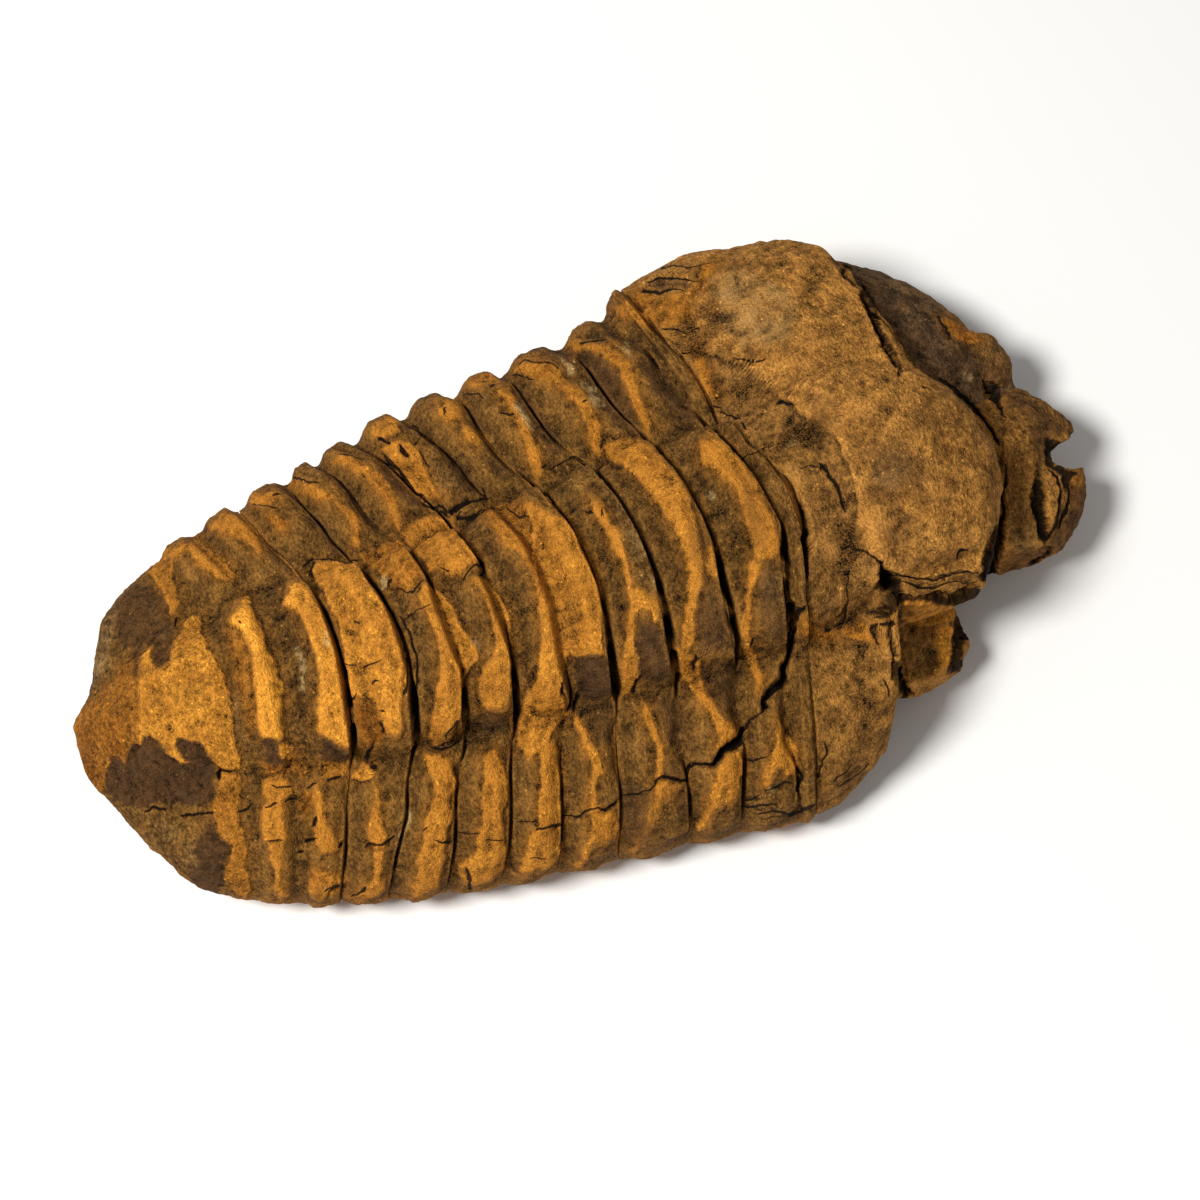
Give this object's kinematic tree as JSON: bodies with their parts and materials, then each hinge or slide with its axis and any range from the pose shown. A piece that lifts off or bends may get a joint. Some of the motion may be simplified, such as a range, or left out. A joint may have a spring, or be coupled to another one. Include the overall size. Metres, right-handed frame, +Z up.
{
  "type": "trilobite fossil",
  "caption": "Loose fossil of a long, ribbed trilobite with a broad head shield, cracked and iron-stained, resting on its worn belly.",
  "frame": {"origin": "centre of the bounding box in plan, on the plane the fossil rests on", "axes": "+X along the animal towards its head, +Y to its left, +Z up"},
  "size_m": [0.0768, 0.0428, 0.0188],
  "materials": {
    "ochre_stone": "matt, sandy, iron-stained"
  },
  "bodies": {
    "root": {"trilobite_fossil": "ochre_stone"}
  },
  "joints": []
}
